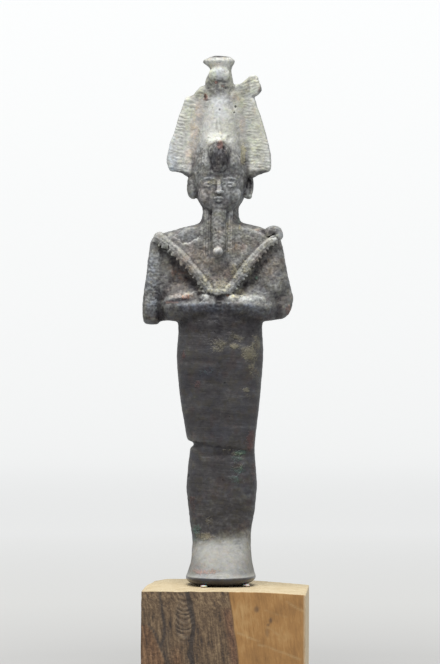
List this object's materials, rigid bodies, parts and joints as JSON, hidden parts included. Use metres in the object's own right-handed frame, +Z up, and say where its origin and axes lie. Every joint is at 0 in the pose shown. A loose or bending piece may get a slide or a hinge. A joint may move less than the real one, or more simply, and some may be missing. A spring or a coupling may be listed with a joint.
{
  "type": "bronze osiris statuette on a wooden block",
  "caption": "Small cast bronze figure of a shrouded standing god with plumed crown, crook and flail, held by wax beads on a block of old timber.",
  "frame": {"origin": "middle of the block's underside", "axes": "+Z up from the block to the crown, -Y towards the figure's front, +X towards the viewer's right when facing the figure"},
  "size_m": [0.0514, 0.05, 0.1963],
  "materials": {
    "bronze": "dark, pitted archaeological patina on cast bronze",
    "timber": "old dry sawn wood, brown to tan, with a pale freshly cut top",
    "mounting_wax": "pale translucent museum wax"
  },
  "bodies": {
    "root": {"osiris_statuette": "bronze", "wooden_block": "timber", "wax_bead_left": "mounting_wax", "wax_bead_right": "mounting_wax"}
  },
  "joints": []
}
